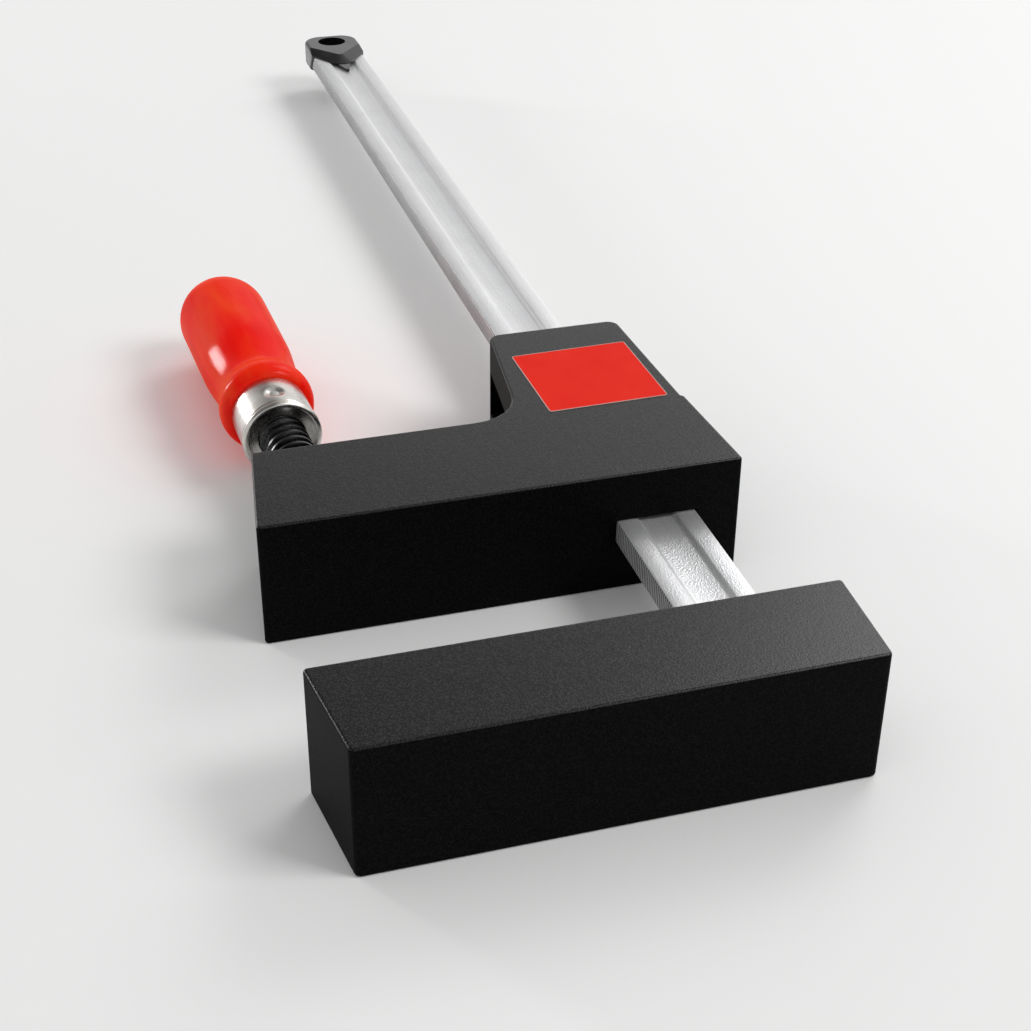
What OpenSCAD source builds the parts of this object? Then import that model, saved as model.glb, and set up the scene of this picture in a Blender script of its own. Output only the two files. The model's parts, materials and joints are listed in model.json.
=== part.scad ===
// Parallel clamp, lying on its side: a fixed jaw riveted to a steel rail, and a moving jaw that
// slides along the rail. A screw draws a sliding arm along inside the moving jaw, and the arm
// bites on the rail as the screw is tightened.
// X runs across the rail, with the throat towards -X. Y runs along the rail, from the fixed
// jaw's clamping face at y = 0 to the end cap. Z is up, with the mid-plane at z = 0.

/* [Rail] */
// Width of the rail across its broad faces
rail_w = 19; // [16:0.5:24]
// Thickness of the rail
rail_t = 6; // [5:0.25:8]
// Bevel along the rail's long edges
rail_bevel = 0.7; // [0.3:0.1:1.2]
// Width of the groove in each broad face, at its mouth
groove_w = 10.4; // [9:0.2:12]
// Depth of that groove
groove_d = 0.9; // [0.5:0.1:1.2]
// Width of each sloping wall of the groove
groove_slope = 1.1; // [0.5:0.1:1.4]
// Widest opening between the jaws
capacity = 300; // [160:10:600]

/* [Jaws] */
// Reach from the rail's inner edge to the jaw tips
throat = 80.6; // [60:0.2:120]
// Height of both jaws
jaw_h = 30; // [26:1:40]
// Radius along the jaws' moulded edges
edge_r = 0.7; // [0.5:0.1:1.6]
// How much rounder the jaws' upright edges are than their rims
corner_extra = 0.2; // [0.2:0.1:1]
// How much rounder the fixed jaw's outer corners are than its rims
fixed_corner_extra = 0.6; // [0.2:0.1:3]
// Draft of the jaw tips in degrees
tip_draft = 7.5; // [0:0.5:10]
// Draft of the jaw heels in degrees
heel_draft = 3.4; // [0:0.2:5]
// Moulded wall between the sliding arm's slot and the jaw heels, at the clamping face
heel_wall = 5.7; // [4.5:0.1:8]
// Opening between the jaws as they stand
opening = 51; // [20:1:150]

/* [Fixed jaw] */
// Depth of the fixed jaw along the rail
fixed_d = 26.5; // [22:0.5:36]
// Moulded wall in front of and behind the fixed arm
fixed_wall = 5.3; // [4:0.1:7]
// Moulding between the fixed arm's end and the jaw tip
fixed_tip_cover = 11.8; // [9:0.2:20]
// Thickness of the heel plug past the fixed arm
plug_l = 3.6; // [3:0.1:5]
// Diameter of the rivets
rivet_d = 5; // [3:0.25:6]
// Distance between the rivets
rivet_pitch = 9.5; // [7.5:0.25:11]

/* [Moving jaw] */
// Depth of the moving jaw's block along the rail
block_d = 32.5; // [30:0.5:44]
// Moulded wall behind the moving jaw's clamping face
block_wall = 5; // [3.5:0.25:7]
// Moulded wall between the screw's pocket and the jaw tip, at the back of the block
tip_wall = 4.7; // [3:0.1:8]
// Length of the neck behind the block
neck_l = 43.5; // [36:0.5:60]
// Width of the neck past the rail's inner edge, where it leaves the block
neck_reach = 13.4; // [11:0.2:20]
// Taper of the neck's throat side in degrees
neck_throat_taper = 6.4; // [0:0.2:7]
// Taper of the neck's heel side in degrees
neck_heel_taper = 2; // [0:0.2:2.4]
// Step from the block's heel down to the neck
neck_step = 0.7; // [0.1:0.1:1]
// Radius of the neck's back corners
neck_corner_r = 3; // [2:0.25:5]
// Radius of the fillet between the block and the neck
neck_fillet_r = 12; // [6:0.5:16]

/* [Label] */
// Width of the label on the neck
label_w = 29.7; // [22:0.1:31]
// Length of the label
label_l = 30.2; // [20:0.1:34]
// Thickness of the label
label_t = 0.15; // [0.1:0.05:0.3]
// Margin between the label and the neck's heel side
label_margin = 3.1; // [2:0.1:4]
// Margin between the label and the back of the block
label_gap = 0.4; // [0.3:0.1:3]
// Turn of the label in degrees
label_turn = 1.1; // [0:0.1:2]

/* [Sliding arm] */
// How far the screw can draw the arm
arm_travel = 24; // [12:1:30]
// Arm's thickness above and below the rail
arm_cheek = 2.2; // [1.8:0.1:3]
// Arm's wall at the rail's outer edge
arm_outer_wall = 3; // [2.5:0.1:4]
// Arm's wall at the rail's inner edge
arm_inner_wall = 6.2; // [4:0.2:9]
// How far the arm's collar reaches past the back of the block
collar_reach = 7; // [2:0.5:10]
// Wall of the boss around the spindle
boss_wall = 2.5; // [2:0.1:3]
// Thickness of the brake spring's leaf
leaf_t = 0.4; // [0.3:0.05:0.5]
// Width of the leaf
leaf_w = 5.6; // [4:0.2:6]
// Rise of the leaf's bow
leaf_rise = 1.5; // [1:0.1:1.7]
// Wall left at each end of the leaf's recess
leaf_margin = 3; // [2:0.25:5]

/* [Screw] */
// Outer diameter of the spindle
spindle_d = 12; // [10:0.25:14]
// Lean of the spindle away from the rail, in degrees
spindle_lean = 2.9; // [0:0.1:3.5]
// Bare spindle left between the block and the ferrule when the arm is drawn fully back
spindle_spare = 7; // [6:0.5:16]
// Diameter of the journal at the spindle's tip
journal_d = 8; // [6:0.25:9]
// Diameter of the tang inside the handle
tang_d = 9; // [6:0.25:9.5]
// Length of the tang
tang_l = 58; // [30:1:64]
// Thickness of the thrust disc
disc_t = 2.5; // [1.5:0.1:3]
// Thickness of the tip collar
tip_collar_t = 2.8; // [2:0.1:3.4]
// How far the tip collar stands out past the spindle
tip_collar_lip = 1.5; // [1.3:0.1:1.8]
// Thickness of the retaining ring
ring_t = 1.2; // [0.8:0.1:1.6]
// How far the retaining ring sits in its groove
ring_grip = 0.8; // [0.5:0.1:1.2]
// Gap in the retaining ring in degrees
ring_gap = 40; // [25:5:80]

/* [Handle] */
// Diameter of the ferrule
ferrule_d = 19.4; // [17:0.2:20.4]
// Length of the ferrule
ferrule_l = 14.5; // [9:0.5:18]
// Wall of the ferrule
ferrule_wall = 0.7; // [0.5:0.1:1]
// Radius of the ferrule's rolled rim
rim_r = 1; // [0.6:0.1:1.4]
// How far that rim stands out past the ferrule
rim_lip = 0.3; // [0.1:0.1:0.5]
// Depth of the dish in the ferrule's mouth
dish_d = 0.5; // [0.2:0.1:0.8]
// Depth of the punch mark that holds the ferrule
punch_d = 0.5; // [0.3:0.1:0.6]
// Diameter of the handle's bead
bead_d = 24.2; // [21.5:0.2:26]
// Length of the bead
bead_l = 7.5; // [5:0.5:10]
// Diameter of the waist behind the bead
waist_d = 21.6; // [18:0.1:22]
// Length of the run from the bead to the waist
waist_l = 3.5; // [2:0.5:6]
// Largest diameter of the handle
handle_d = 24.2; // [21:0.2:26]
// Length of the handle behind the ferrule
handle_l = 69.5; // [66:0.5:90]
// Length of the handle's domed end
dome_l = 13; // [8:0.5:16]

/* [End cap] */
// Wall of the cap beside the rail's narrow edges
cap_side_wall = 0.7; // [0.6:0.1:2.5]
// Wall of the cap above the rail
cap_cheek = 2; // [1.4:0.1:3]
// Wall of the cap below the rail
cap_floor = 0.8; // [0.6:0.1:2]
// How far the cap's flat face runs out in front of the sleeve
plate_l = 10; // [6:0.5:12]
// How far the cap's sloping foot runs out in front of the sleeve
foot_l = 16; // [13:0.5:18]
// How far the corners of the foot run out in front of the sleeve
foot_corner_l = 5; // [2:0.5:8]
// Radius of the foot's front
foot_r = 4.5; // [3:0.25:6]
// Height of the foot's rim above the rail
foot_t = 0.4; // [0.3:0.1:0.8]
// Length of the tongue in the rail's groove, in front of the sleeve
tongue_l = 22.5; // [19:0.5:26]
// Half width of the tongue under the foot
tongue_r = 3.4; // [2.4:0.1:3.6]
// Radius of the tongue's tip
tongue_tip_r = 0.6; // [0.4:0.1:1]
// Length of the sleeve around the rail
sleeve_l = 1.5; // [1:0.5:12]
// Diameter of the hanging hole
hang_d = 10.5; // [6:0.25:12]
// Plastic between the rail's end and the hanging hole
hang_web = 1; // [0.8:0.1:3]
// Plastic behind the hanging hole
hang_rim = 2.9; // [2:0.1:5]
// Radius of the cap's outer corners
cap_end_r = 6.5; // [3:0.25:9]
// Radius along the cap's edges
cap_edge_r = 1.2; // [0.6:0.1:1.4]
// Diameter of the nib that snaps the cap into the rail
nib_d = 4; // [3:0.25:5]
// Free rail between the drawn-back jaw and the cap
cap_gap = 10; // [2:0.5:20]

/* [Clearances] */
// Sliding clearance between the rail and what runs on it
slide_gap = 0.3; // [0.2:0.05:0.5]
// Clearance of the sliding arm in the shell
arm_gap = 0.4; // [0.3:0.05:0.6]
// Running clearance of the spindle in the arm
run_gap = 0.05; // [0.02:0.01:0.1]
// Fit of pieces that are pressed or riveted together
press_gap = 0.02; // [0.01:0.01:0.05]
// Fit of pieces that are pushed together by hand
push_gap = 0.1; // [0.05:0.05:0.2]
// End play of the spindle's collar, before and behind it
end_play = 0.3; // [0.2:0.05:0.5]

/* [Hidden] */
$fn = 64;
// Extra length by which a cut runs past the face that it opens
cut = 1;
// Steps of an arc
arc_steps = 6;

// Across the rail
rail_edge = rail_w / 2;
rail_face = rail_t / 2;
arm_drift = arm_travel * sin(spindle_lean);
window_inner = -(rail_edge + slide_gap);
window_outer = rail_edge + slide_gap + arm_drift;
arm_outer = window_outer + arm_outer_wall;
arm_inner = window_inner - arm_inner_wall;
slot_outer = arm_outer + arm_gap;
heel_x = slot_outer + heel_wall;
tip_x = -(rail_edge + throat);

// Above and below the mid-plane
half_h = jaw_h / 2;
corner_r = edge_r + corner_extra;
fixed_corner_r = edge_r + fixed_corner_extra;
arm_half = rail_face + slide_gap + arm_cheek;
slot_half = arm_half + arm_gap;

// Along the rail
block_y = opening;
back_y = block_y + block_d;
neck_y = back_y + neck_l;
fixed_arm_y = -(fixed_d - fixed_wall);
cap_y = capacity + block_d + neck_l + cap_gap;
sleeve_y = cap_y + tongue_l;
foot_y = sleeve_y - foot_l;
foot_corner_y = sleeve_y - foot_corner_l;
rail_end_y = sleeve_y + sleeve_l;
hang_y = rail_end_y + push_gap + hang_web + hang_d / 2;
nib_y = sleeve_y - nib_d;
cap_end_y = hang_y + hang_d / 2 + hang_rim;

// Across the jaws at the backs of their drafted sides
fixed_tip_x = tip_x + fixed_d * tan(tip_draft);
fixed_heel_x = heel_x - fixed_d * tan(heel_draft);
block_tip_x = tip_x + block_d * tan(tip_draft);
block_heel_x = heel_x - block_d * tan(heel_draft);
neck_throat_x = -(rail_edge + neck_reach);
neck_heel_x = block_heel_x - neck_step;
neck_back_throat_x = neck_throat_x + neck_l * tan(neck_throat_taper);
neck_back_heel_x = neck_heel_x - neck_l * tan(neck_heel_taper);

// The fixed arm, clear of the shell's tip and heel
fixed_arm_tip_x = tip_x + fixed_tip_cover;
fixed_arm_heel_x = fixed_heel_x - plug_l;
rivet_y = (fixed_arm_y - fixed_wall) / 2;

// The screw, in distances t along its leaning axis from the back of the block
spindle_r = spindle_d / 2;
boss_r = spindle_r + boss_wall;
pocket_r = boss_r + arm_gap;
spindle_x = block_tip_x + tip_wall + pocket_r / cos(spindle_lean);
pocket_t = -(block_d - block_wall);
tip_t = pocket_t + disc_t + end_play;
collar_t = tip_t + end_play;
shoulder_t = collar_t + tip_collar_t;
ring_t0 = shoulder_t + end_play;
boss_t = ring_t0 + ring_t + end_play;
boss_l = -boss_t - arm_gap;
mouth_t = arm_travel + spindle_spare;
ferrule_t = mouth_t + ferrule_l;
handle_t = ferrule_t + handle_l;
tip_collar_r = spindle_r + tip_collar_lip;
ring_inner_r = spindle_r + tip_collar_lip / 2;
ring_outer_r = pocket_r + ring_grip;

// The sliding arm, between the leaning ring and the end of its collar
arm_y = back_y + boss_t * cos(spindle_lean) + ring_outer_r * sin(spindle_lean);
arm_back_y = back_y - arm_gap;
collar_y = back_y + collar_reach;
slot_back_y = collar_y + arm_travel + arm_gap;

// The handle, in radii
ferrule_r = ferrule_d / 2;
spigot_r = ferrule_r - ferrule_wall - push_gap;
tang_r = tang_d / 2;
tang_t = ferrule_t - ferrule_l / 2;

// Unit vector along v
function unit(v) = v / norm(v);

// Unit normal on the inner side of an edge from p to q, in an outline that runs anticlockwise
function inward(p, q) = let (u = unit(q - p)) [-u.y, u.x];

// Turn from angle a to angle b, the short way round
function short_turn(a, b) = b - a > 180 ? b - a - 360 : b - a < -180 ? b - a + 360 : b - a;

// Points of the corner b between a and c, rounded to radius r and then moved in by d
function corner(a, b, c, r, d) =
    let (mitre = unit(inward(a, b) + inward(b, c)))
    r == 0 ? [b + d / (mitre * inward(a, b)) * mitre] :
    let (u = unit(a - b), v = unit(c - b), half = acos(u * v) / 2)
    let (side = cross(b - a, c - b) > 0 ? 1 : -1)
    let (centre = b + side * r / sin(half) * mitre, reach = r / tan(half))
    let (p = b + u * reach - centre, q = b + v * reach - centre)
    let (start = atan2(p.y, p.x), turn = short_turn(start, atan2(q.y, q.x)))
    [for (i = [0:arc_steps]) let (w = start + turn * i / arc_steps)
        centre + (r - side * d) * [cos(w), sin(w)]];

// An outline with each corner rounded to its own radius, moved in by d
function rounded(points, radii, d) = let (n = len(points))
    [for (i = [0:n - 1])
        each corner(points[(i + n - 1) % n], points[i], points[(i + 1) % n], radii[i], d)];

// Points of a smooth run from p to q that leaves and arrives level
function eased(p, q) = [for (i = [1:arc_steps]) let (s = i / arc_steps)
    [p.x + (q.x - p.x) * (1 - cos(180 * s)) / 2, p.y + (q.y - p.y) * s]];

// Points of a quarter ellipse about centre, with half axes a across and b along
function quarter(centre, a, b, from) = [for (i = [0:arc_steps])
    let (w = from + 90 * i / arc_steps) centre + [a * cos(w), b * sin(w)]];

// A moulding of the jaws' height: an outline lofted through levels that round its rims. The first
// point sees all of the outline, because its end faces are fans from there
module moulding(points, radii) {
    rim = [for (i = [0:arc_steps]) let (a = 90 * i / arc_steps)
        [edge_r * (1 - sin(a)), half_h - edge_r * (1 - cos(a))]];
    levels = concat([for (l = rim) [l.x, -l.y]], [for (i = [arc_steps:-1:0]) rim[i]]);
    rings = [for (l = levels) [for (p = rounded(points, radii, l.x)) [p.x, p.y, l.y]]];
    n = len(rings[0]);
    m = len(rings);
    sides = [for (j = [0:m - 2], i = [0:n - 1]) let (k = (i + 1) % n)
        [j * n + i, (j + 1) * n + i, (j + 1) * n + k, j * n + k]];
    ends = [[for (i = [0:n - 1]) i], [for (i = [n:-1:1]) (m - 1) * n + i % n]];
    polyhedron([for (ring = rings) each ring], concat(sides, ends));
}

// A box between two corners
module between(low, high) {
    translate(low)
        cube(high - low);
}

// Puts a shape that stands on z = 0 on the screw's axis, with z as the distance t
module on_screw() {
    translate([spindle_x, back_y, 0])
        rotate([0, 0, spindle_lean])
            rotate([-90, 0, 0])
                children();
}

// Round bar on the screw's axis, from t0 to t1
module screw_bar(r, t0, t1) {
    on_screw()
        translate([0, 0, t0])
            cylinder(r = r, h = t1 - t0);
}

// Section of the rail, with a groove in each broad face
function groove_side(s) = [
    [-s * groove_w / 2, s * rail_face],
    [-s * (groove_w / 2 - groove_slope), s * (rail_face - groove_d)],
    [s * (groove_w / 2 - groove_slope), s * (rail_face - groove_d)],
    [s * groove_w / 2, s * rail_face]];
function rail_side(s) = [
    [s * (rail_edge - rail_bevel), s * rail_face],
    [s * rail_edge, s * (rail_face - rail_bevel)],
    [s * rail_edge, -s * (rail_face - rail_bevel)],
    [s * (rail_edge - rail_bevel), -s * rail_face]];

// Holes for the rivets through the fixed arm and the rail
module rivet_bars(r, half) {
    for (s = [-1, 1])
        translate([s * rivet_pitch / 2, rivet_y, -half])
            cylinder(r = r, h = 2 * half);
}

// Flat steel bar, drilled for the rivets and for the cap's nib
module rail() {
    color("silver")
        difference() {
            translate([0, rail_end_y, 0])
                rotate([90, 0, 0])
                    linear_extrude(rail_end_y - fixed_arm_y)
                        polygon(concat(groove_side(1), rail_side(1), groove_side(-1), rail_side(-1)));
            rivet_bars(rivet_d / 2 + press_gap, rail_face + cut);
            translate([0, nib_y, -rail_face - cut])
                cylinder(d = nib_d + 2 * push_gap, h = rail_t + 2 * cut);
        }
}

// Outline of the fixed arm, narrowing towards the tip
fixed_arm_outline = [
    [fixed_arm_tip_x, -fixed_wall], [fixed_arm_tip_x, fixed_arm_y + fixed_wall],
    [arm_inner, fixed_arm_y], [fixed_arm_heel_x, fixed_arm_y], [fixed_arm_heel_x, -fixed_wall]];

// Steel arm at the end of the rail
module fixed_arm() {
    color("dimgray")
        difference() {
            translate([0, 0, -arm_half])
                linear_extrude(2 * arm_half)
                    polygon(fixed_arm_outline);
            between([-rail_edge - press_gap, fixed_arm_y - cut, -rail_face - press_gap],
                [rail_edge + press_gap, cut, rail_face + press_gap]);
            rivet_bars(rivet_d / 2 + press_gap, arm_half + cut);
        }
}

// Rivets that hold the fixed arm on the rail
module fixed_arm_rivets() {
    color("gray")
        rivet_bars(rivet_d / 2, arm_half);
}

// Outer form of the fixed jaw
module fixed_jaw_form() {
    moulding([[tip_x, 0], [fixed_tip_x, -fixed_d], [fixed_heel_x, -fixed_d], [heel_x, 0]],
        [corner_r, fixed_corner_r, fixed_corner_r, corner_r]);
}

// Black moulded jaw over the fixed arm, open at the heel where it is pushed over arm and rail
module fixed_jaw_shell() {
    color("#202122")
        difference() {
            fixed_jaw_form();
            translate([0, 0, -arm_half - push_gap])
                linear_extrude(2 * (arm_half + push_gap))
                    polygon([
                        [fixed_arm_tip_x - push_gap, push_gap - fixed_wall],
                        [fixed_arm_tip_x - push_gap, fixed_arm_y + fixed_wall - push_gap],
                        [arm_inner - push_gap, fixed_arm_y - push_gap],
                        [heel_x + cut, fixed_arm_y - push_gap],
                        [heel_x + cut, push_gap - fixed_wall]]);
            between([-rail_edge - push_gap, -fixed_wall, -rail_face - push_gap],
                [heel_x + cut, cut, rail_face + push_gap]);
        }
}

// Moulded plug that closes the mouth in the fixed jaw's heel
module heel_plug() {
    color("#242526")
        intersection() {
            fixed_jaw_form();
            union() {
                between([fixed_arm_heel_x + push_gap, fixed_arm_y, -arm_half],
                    [heel_x + cut, -fixed_wall, arm_half]);
                between([fixed_arm_heel_x + push_gap, fixed_arm_y, -rail_face],
                    [heel_x + cut, cut, rail_face]);
                between([rail_edge + push_gap, -fixed_wall + push_gap, -rail_face],
                    [heel_x + cut, cut, rail_face]);
            }
        }
}

// Disc with a rounded rim, of radius r and half height half
module puck(r, half) {
    rotate_extrude($fn = 32)
        polygon(concat([[0, -half]],
            [for (i = [0:arc_steps]) let (a = 90 * i / arc_steps - 90)
                [r - cap_edge_r + cap_edge_r * cos(a), cap_edge_r - half + cap_edge_r * sin(a)]],
            [for (i = [0:arc_steps]) let (a = 90 * i / arc_steps)
                [r - cap_edge_r + cap_edge_r * cos(a), half - cap_edge_r + cap_edge_r * sin(a)]],
            [[0, half]]));
}

// Plastic cap on the rail's end, with a hanging hole, a tongue in the rail's groove and a nib in its hole
module rail_end_cap() {
    cap_r = rail_edge + cap_side_wall;
    cap_half = rail_face + (cap_cheek + cap_floor) / 2;
    cap_mid = (cap_cheek - cap_floor) / 2;
    cap_corner_r = 2 * cap_edge_r;
    foot_h = push_gap + 2 * foot_t;
    tongue_z = rail_face - groove_d + push_gap;
    color("#151515") {
        difference() {
            hull() {
                for (s = [-1, 1]) {
                    translate([s * (cap_r - cap_end_r), cap_end_y - cap_end_r, cap_mid])
                        puck(cap_end_r, cap_half);
                    translate([s * (cap_r - cap_corner_r), sleeve_y + cap_corner_r, cap_mid])
                        puck(cap_corner_r, cap_half);
                    translate([s * (cap_r - cap_corner_r), foot_corner_y + cap_corner_r, rail_face - foot_t])
                        cylinder(r = cap_corner_r, h = foot_h, $fn = 32);
                }
                translate([0, sleeve_y - plate_l + cap_corner_r, cap_mid])
                    puck(cap_corner_r, cap_half);
                translate([0, foot_y + foot_r, rail_face - foot_t])
                    cylinder(r = foot_r, h = foot_h, $fn = 48);
            }
            between([-rail_edge - push_gap, cap_y - cut, -rail_face - push_gap],
                [rail_edge + push_gap, rail_end_y + push_gap, rail_face + push_gap]);
            translate([0, hang_y, cap_mid - cap_half - cut])
                cylinder(d = hang_d, h = 2 * (cap_half + cut));
        }
        hull() {
            translate([0, cap_y + tongue_tip_r, tongue_z])
                cylinder(r = tongue_tip_r, h = groove_d + foot_t / 2, $fn = 24);
            translate([0, foot_y + foot_r, tongue_z])
                cylinder(r = tongue_r, h = groove_d + foot_t / 2, $fn = 48);
        }
        translate([0, nib_y, 0])
            cylinder(d = nib_d, h = rail_face + cap_cheek / 2);
    }
}

// Black moulded moving jaw, with the screw's pocket and the arm's slot
module jaw_shell() {
    color("#202122")
        difference() {
            moulding([
                [0, block_y], [heel_x, block_y], [block_heel_x, back_y - neck_step],
                [neck_heel_x, back_y], [neck_back_heel_x, neck_y], [neck_back_throat_x, neck_y],
                [neck_throat_x, back_y], [block_tip_x, back_y], [tip_x, block_y]],
                [0, corner_r, 0, 0, neck_corner_r, neck_corner_r, neck_fillet_r, corner_r, corner_r]);
            between([-rail_edge - slide_gap, block_y - cut, -rail_face - slide_gap],
                [rail_edge + slide_gap, neck_y + cut, rail_face + slide_gap]);
            between([spindle_x, arm_y - arm_gap, -slot_half], [slot_outer, slot_back_y, slot_half]);
            screw_bar(pocket_r, pocket_t, pocket_r);
            screw_bar(ring_outer_r + push_gap, ring_t0 - push_gap, ring_t0 + ring_t + push_gap);
        }
}

// Square label on the neck
module jaw_label() {
    color("#e6372d")
        translate([neck_heel_x - label_margin, back_y + label_gap, half_h])
            rotate([0, 0, label_turn])
                between([-label_w, 0, 0], [0, label_l, label_t]);
}

// Hard disc that the spindle's tip bears on
module thrust_disc() {
    color("gray")
        screw_bar(pocket_r - push_gap, pocket_t, pocket_t + disc_t);
}

// Open ring in a groove of the shell, which keeps the tip collar in
module retaining_ring() {
    color("dimgray")
        on_screw()
            translate([0, 0, ring_t0])
                rotate([0, 0, ring_gap / 2])
                    rotate_extrude(angle = 360 - ring_gap)
                        translate([ring_inner_r, 0])
                            square([ring_outer_r - ring_inner_r, ring_t]);
}

// The rail groove's floor, and the top of the bowed leaf's ends
leaf_low = rail_face - groove_d + slide_gap;
leaf_high = leaf_low + leaf_rise + leaf_t;
leaf_l = collar_y - arm_y - 2 * leaf_margin;
leaf_y = (collar_y + arm_y) / 2;

// Cast arm with the boss for the spindle and the window that slides on the rail
module sliding_arm() {
    color("#4a4c4f")
        difference() {
            union() {
                translate([0, 0, -arm_half])
                    linear_extrude(2 * arm_half)
                        polygon([[spindle_x, arm_y], [arm_outer, arm_y], [arm_outer, collar_y],
                            [arm_inner, collar_y], [neck_throat_x, arm_back_y], [spindle_x, arm_back_y]]);
                screw_bar(boss_r, boss_t, boss_t + boss_l);
            }
            between([window_inner, arm_y - cut, -rail_face - slide_gap],
                [window_outer, collar_y + cut, rail_face + slide_gap]);
            between([-leaf_w / 2 - push_gap, leaf_y - leaf_l / 2 - push_gap, 0],
                [leaf_w / 2 + push_gap, leaf_y + leaf_l / 2 + push_gap, leaf_high + push_gap]);
            screw_bar(spindle_r + run_gap, boss_t - cut, boss_t + boss_l + cut);
        }
}

// Bowed leaf that drags in the rail's groove
module brake_spring() {
    half_l = leaf_l / 2;
    bow_r = (half_l * half_l + leaf_rise * leaf_rise) / (2 * leaf_rise);
    span = asin(half_l / bow_r);
    color("lightsteelblue")
        translate([-leaf_w / 2, leaf_y, leaf_low + bow_r])
            rotate([90, 0, 90])
                linear_extrude(leaf_w)
                    polygon(concat(
                        [for (i = [-arc_steps:arc_steps]) let (a = span * i / arc_steps)
                            bow_r * [sin(a), -cos(a)]],
                        [for (i = [-arc_steps:arc_steps]) let (a = -span * i / arc_steps)
                            (bow_r - leaf_t) * [sin(a), -cos(a)]]));
}

// Screw, with a journal at its tip and a tang inside the handle
module spindle() {
    chamfer = journal_d / 8;
    color("#2b2b2d")
        on_screw()
            rotate_extrude()
                polygon([
                    [0, tip_t], [journal_d / 2 - chamfer, tip_t], [journal_d / 2, tip_t + chamfer],
                    [journal_d / 2, shoulder_t], [spindle_r - chamfer, shoulder_t],
                    [spindle_r, shoulder_t + chamfer], [spindle_r, tang_t], [tang_r, tang_t],
                    [tang_r, tang_t + tang_l - chamfer], [tang_r - chamfer, tang_t + tang_l],
                    [0, tang_t + tang_l]]);
}

// Collar pressed on the journal
module tip_collar() {
    color("gray")
        on_screw()
            translate([0, 0, collar_t])
                rotate_extrude()
                    translate([journal_d / 2 + press_gap, 0])
                        square([tip_collar_r - journal_d / 2 - press_gap, tip_collar_t]);
}

// Turned wooden handle with a bead, a waist and a domed end
module handle() {
    bead = [bead_d / 2, ferrule_t + bead_l / 2];
    waist = [waist_d / 2, ferrule_t + bead_l + waist_l];
    belly = [handle_d / 2, handle_t - dome_l];
    bore_end = tang_t + tang_l + push_gap;
    spigot_t = mouth_t + dish_d + ferrule_wall + push_gap;
    color("#d8281f")
        on_screw()
            rotate_extrude()
                polygon(concat(
                    [[spindle_r + push_gap, spigot_t], [spigot_r, spigot_t], [spigot_r, ferrule_t + push_gap]],
                    [for (p = quarter([ferrule_r, bead.y], bead.x - ferrule_r, bead_l / 2 - push_gap, -90)) p],
                    eased(bead, waist), eased(waist, belly),
                    [for (p = quarter([0, belly.y], belly.x, dome_l, 0)) if (p.x < belly.x) p],
                    [[0, bore_end], [tang_r + push_gap, bore_end], [tang_r + push_gap, tang_t + push_gap],
                        [spindle_r + push_gap, tang_t + push_gap]]));
}

// Bright ferrule with a rolled rim, a dished mouth and a punch mark
module ferrule() {
    hole_r = spindle_r + push_gap;
    punch_r = ferrule_l / 3;
    lip = [ferrule_r + rim_lip - rim_r, mouth_t + rim_r];
    lip_end = acos(1 - rim_lip / rim_r);
    color("gainsboro")
        difference() {
            on_screw()
                rotate_extrude()
                    polygon(concat(
                        [[hole_r, mouth_t + dish_d]],
                        [for (i = [0:arc_steps]) let (w = (90 + lip_end) * i / arc_steps - 90)
                            lip + rim_r * [cos(w), sin(w)]],
                        [[ferrule_r, ferrule_t], [ferrule_r - ferrule_wall, ferrule_t],
                            [ferrule_r - ferrule_wall, mouth_t + dish_d + ferrule_wall],
                            [hole_r, mouth_t + dish_d + ferrule_wall]]));
            on_screw()
                translate([0, -(ferrule_r + punch_r - punch_d), (mouth_t + ferrule_t) / 2])
                    sphere(r = punch_r);
        }
}

rail();
fixed_arm();
fixed_arm_rivets();
fixed_jaw_shell();
heel_plug();
rail_end_cap();
jaw_shell();
jaw_label();
thrust_disc();
retaining_ring();
sliding_arm();
brake_spring();
spindle();
tip_collar();
handle();
ferrule();
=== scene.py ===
"""Looks of a parallel clamp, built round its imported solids.

The clamp lies on its side. X runs across the rail, Y along it from the fixed jaw to the end cap, and Z
is up. Every length is in metres, in the frame of the solids.
"""

import json
import logging
import math
from collections.abc import Callable, Iterator, Sequence
from contextlib import contextmanager
from dataclasses import dataclass
from enum import Enum

import bmesh
import bpy
from mathutils import Matrix, Vector


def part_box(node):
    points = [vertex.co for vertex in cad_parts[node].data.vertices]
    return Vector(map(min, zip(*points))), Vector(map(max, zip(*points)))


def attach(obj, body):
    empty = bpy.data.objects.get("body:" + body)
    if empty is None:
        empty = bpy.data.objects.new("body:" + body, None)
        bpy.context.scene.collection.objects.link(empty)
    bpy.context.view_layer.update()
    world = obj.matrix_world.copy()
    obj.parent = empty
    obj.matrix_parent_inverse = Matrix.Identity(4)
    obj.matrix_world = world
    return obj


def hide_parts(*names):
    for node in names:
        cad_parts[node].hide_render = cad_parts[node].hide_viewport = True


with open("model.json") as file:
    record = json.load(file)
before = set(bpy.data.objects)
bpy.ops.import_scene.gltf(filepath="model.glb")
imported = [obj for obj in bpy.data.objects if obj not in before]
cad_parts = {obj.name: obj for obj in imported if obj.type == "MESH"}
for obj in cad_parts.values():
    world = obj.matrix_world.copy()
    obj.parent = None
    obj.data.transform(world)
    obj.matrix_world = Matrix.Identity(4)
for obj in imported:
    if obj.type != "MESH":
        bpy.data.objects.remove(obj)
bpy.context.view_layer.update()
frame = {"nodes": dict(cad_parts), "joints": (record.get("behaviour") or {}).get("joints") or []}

MM = 0.001
WELD = 0.002 * MM
FLAT_WITHIN = math.radians(0.2)
BREAK_OVER = math.radians(50)
# Sockets of a mix node that mixes colours.
MIX_FIRST = 6
MIX_SECOND = 7
MIX_RESULT = 2
log = logging.getLogger("clamp")

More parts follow.
